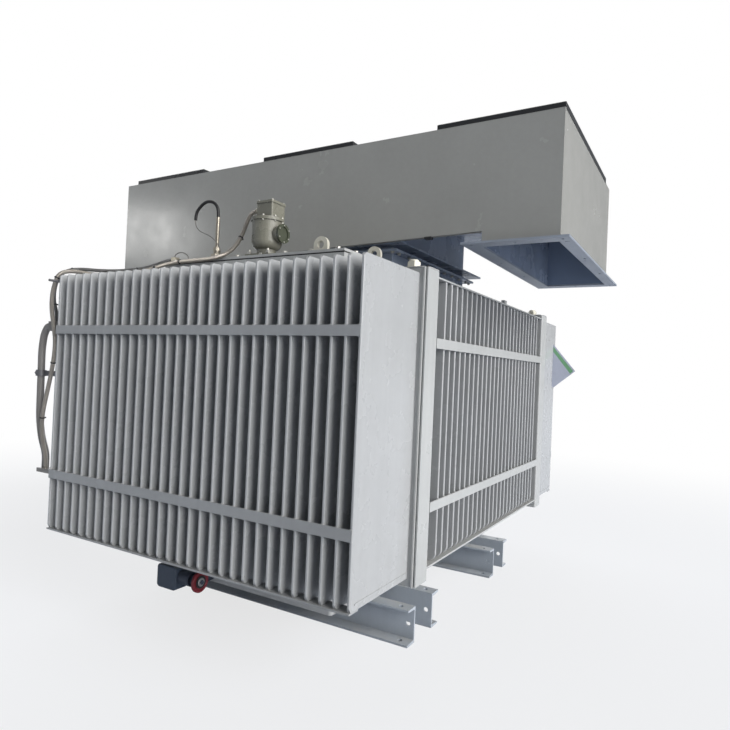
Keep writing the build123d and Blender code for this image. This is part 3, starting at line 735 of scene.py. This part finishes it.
# -------------------------------------------------------------- ties, clips
def tie(bag, c, axis, r, w=0.005, t=0.0016, n=20):
    u, v, ww = basis(axis)
    c = Vector(c)
    verts = []
    for k in range(n):
        q = 2 * math.pi * k / n
        d = u * math.cos(q) + v * math.sin(q)
        for rr, hh in ((r, -w / 2), (r + t, -w / 2), (r + t, w / 2), (r, w / 2)):
            verts.append(c + d * rr + ww * hh)
    faces = []
    for k in range(n):
        k2 = (k + 1) % n
        for j in range(4):
            j2 = (j + 1) % 4
            faces.append((k * 4 + j, k * 4 + j2, k2 * 4 + j2, k2 * 4 + j))
    bag.add(verts, faces)
    top = c + u * (r + t)
    prism(bag, top, u, [(0.004, -0.001), (0.004, 0.004), (0.003, 0.0055)], 4, 0.785)


ties = Bag()


def at(line, k):
    i = int(k * (len(line) - 1))
    i = max(1, min(len(line) - 2, i))
    return line[i], (line[i + 1] - line[i - 1]).normalized()


for k in (0.10, 0.28, 0.36, 0.60, 0.80, 0.90):
    c, d = at(line1, k)
    tie(ties, c, d, 0.0085)
for k in (0.25, 0.6, 0.9):
    c, d = at(line2, k)
    tie(ties, c, d, 0.0070)
put("cable_ties", ties.v, ties.f, "dark_seal")

# --------------------------------------------------------------- valve, wheel
vw = Bag()
prism(vw, (-0.106, -0.950, 0.182), (1, 0, 0), [(0.0165, 0.001), (0.0165, 0.003), (0.0145, 0.0042)], 28)
prism(vw, (-0.1018, -0.950, 0.182), (1, 0, 0), [(0.0075, -0.001), (0.0075, 0.003), (0.0065, 0.004)], 6, 0.3)
put("wheel_hub_cap", vw.v, vw.f, "hub_steel", body=WHEEL)
vr = Bag()
prism(vr, (-0.106, -0.950, 0.182), (1, 0, 0), [(0.0245, -0.001), (0.0245, 0.0012), (0.0235, 0.0017)], 36)
put("wheel_recess_ring", vr.v, vr.f, "dark_seal", body=WHEEL)

# ------------------------------------------------------------------- card
cd = Bag()
g0 = Vector((0.7315, 1.1498, 1.2450))
g1 = Vector((0.8560, 1.1498, 1.0960))
dn = Vector((-0.020, 0, -0.017))
cd.add([g0, g1, g1 + dn * 0.9, g0 + Vector((0, 0, -0.030))], [(0, 1, 2, 3)])
MAT["green_band"] = mat("green_band", (0.20, 0.44, 0.24), 0.6, vary=0.05, streak=0.0, bevel=0.0)
put("card_band", cd.v, cd.f, "green_band")

# ------------------------------------------------------------------- stage
def stage_plane(name, size, z, col):
    me = bpy.data.meshes.new(name)
    s = size / 2
    me.from_pydata([(-s, -s, z), (s, -s, z), (s, s, z), (-s, s, z)], [], [(0, 1, 2, 3)])
    mt = bpy.data.materials.new(name)
    mt.use_nodes = True
    bs = mt.node_tree.nodes["Principled BSDF"]
    bs.inputs["Base Color"].default_value = (*col, 1)
    bs.inputs["Roughness"].default_value = 0.9
    me.materials.append(mt)
    ob = bpy.data.objects.new(name, me)
    scene.collection.objects.link(ob)
    return ob


floor = stage_plane("floor", 400.0, 0.0, (0.56, 0.60, 0.68))
fm = floor.data.materials[0].node_tree
fb = fm.nodes["Principled BSDF"]
ftc = fm.nodes.new("ShaderNodeTexCoord")
fmap = fm.nodes.new("ShaderNodeMapping")
fmap.inputs["Scale"].default_value = (1 / 6.5, 1 / 6.5, 0.0)
fgr = fm.nodes.new("ShaderNodeTexGradient")
fgr.gradient_type = "SPHERICAL"
frp = fm.nodes.new("ShaderNodeMapRange")
frp.interpolation_type = "SMOOTHSTEP"
frp.inputs["From Min"].default_value = 0.0
frp.inputs["From Max"].default_value = 0.70
frp.inputs["To Min"].default_value = 1.0
frp.inputs["To Max"].default_value = 0.74
fem = fm.nodes.new("ShaderNodeEmission")
fem.inputs[0].default_value = (1, 1, 1, 1)
flp = fm.nodes.new("ShaderNodeLightPath")
fmu = fm.nodes.new("ShaderNodeMath")
fmu.operation = "MULTIPLY"
fmx = fm.nodes.new("ShaderNodeMixShader")
fo = fm.nodes["Material Output"]
fm.links.new(ftc.outputs["Object"], fmap.inputs[0])
fm.links.new(fmap.outputs[0], fgr.inputs[0])
fm.links.new(fgr.outputs["Fac"], frp.inputs["Value"])
fm.links.new(frp.outputs[0], fmu.inputs[0])
fm.links.new(flp.outputs["Is Camera Ray"], fmu.inputs[1])
fm.links.new(fmu.outputs[0], fmx.inputs[0])
fm.links.new(fb.outputs[0], fmx.inputs[1])
fm.links.new(fem.outputs[0], fmx.inputs[2])
fm.links.new(fmx.outputs[0], fo.inputs[0])

world = bpy.data.worlds.new("studio")
scene.world = world
world.use_nodes = True
wn = world.node_tree
wn.nodes.clear()
wo = wn.nodes.new("ShaderNodeOutputWorld")
bg1 = wn.nodes.new("ShaderNodeBackground")
bg1.inputs[0].default_value = (1.0, 1.0, 1.0, 1)
bg1.inputs[1].default_value = 1.0
bg2 = wn.nodes.new("ShaderNodeBackground")
bg2.inputs[0].default_value = (0.90, 0.95, 1.0, 1)
bg2.inputs[1].default_value = 0.20
lp = wn.nodes.new("ShaderNodeLightPath")
mx = wn.nodes.new("ShaderNodeMixShader")
wn.links.new(lp.outputs["Is Camera Ray"], mx.inputs[0])
wn.links.new(bg2.outputs[0], mx.inputs[1])
wn.links.new(bg1.outputs[0], mx.inputs[2])
wn.links.new(mx.outputs[0], wo.inputs[0])


def area(name, pos, target, size, power, col=(1, 1, 1)):
    ld = bpy.data.lights.new(name, "AREA")
    ld.shape = "RECTANGLE"
    ld.size = size[0]
    ld.size_y = size[1]
    ld.energy = power
    ld.color = col
    ob = bpy.data.objects.new(name, ld)
    scene.collection.objects.link(ob)
    d = Vector(target) - Vector(pos)
    ob.rotation_euler = d.to_track_quat("-Z", "Y").to_euler()
    ob.location = pos
    return ob


sun = bpy.data.lights.new("sun", "SUN")
sun.energy = 4.3
sun.angle = math.radians(52)
sun.color = (1.0, 0.985, 0.96)
sun_ob = bpy.data.objects.new("sun", sun)
scene.collection.objects.link(sun_ob)
sun_ob.rotation_euler = Vector((-0.86, 0.135, -0.36)).to_track_quat("-Z", "Y").to_euler()
back = bpy.data.lights.new("back_fill", "SUN")
back.energy = 2.2
back.angle = math.radians(70)
back.color = (0.97, 0.985, 1.0)
back_ob = bpy.data.objects.new("back_fill", back)
scene.collection.objects.link(back_ob)
back_ob.rotation_euler = Vector((0.62, -0.66, -0.30)).to_track_quat("-Z", "Y").to_euler()
panel = area("left_panel", (-6.5, -5.0, 3.15), (-1.1, -0.5, 1.8), (1.3, 0.8), 27, (1.0, 0.99, 0.97))
panel.visible_diffuse = False

scene.view_settings.view_transform = "Standard"

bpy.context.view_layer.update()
